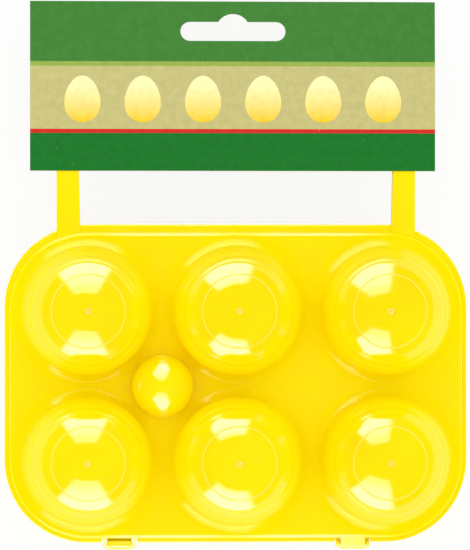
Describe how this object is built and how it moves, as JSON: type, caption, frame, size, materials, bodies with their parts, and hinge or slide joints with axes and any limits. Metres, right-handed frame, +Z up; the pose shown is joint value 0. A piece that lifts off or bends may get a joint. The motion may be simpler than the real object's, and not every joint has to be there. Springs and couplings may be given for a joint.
{
  "type": "egg holder",
  "caption": "Hinged yellow plastic case with dome cups that hold eggs upright, loop handles to carry it, a snap closure and a folded hang card over the handle.",
  "frame": {"origin": "middle of the outline seen from above, on the plane that the lower half's feet stand on", "axes": "+Z up through the closed lid, +Y from the hinge to the handle, +X along the hinge with the upper half's hook at +X"},
  "size_m": [0.1844, 0.2186, 0.066],
  "materials": {
    "polyethylene": "glossy moulded yellow polyethylene, slightly translucent",
    "printed_card": null
  },
  "bodies": {
    "base": {"lower_half": "polyethylene"},
    "lid": {"upper_half": "polyethylene"},
    "card": {"header_card": "printed_card"}
  },
  "joints": [
    {"name": "lid_hinge", "type": "hinge", "parent": "base", "child": "lid", "pos_m": [0, -0.10719, 0.033], "axis": [1, 0, 0], "range_deg": [0, 180]},
    {"name": "card_slide", "type": "slide", "parent": "lid", "child": "card", "axis": [0, 1, 0], "range_m": [0, 0.03]}
  ]
}
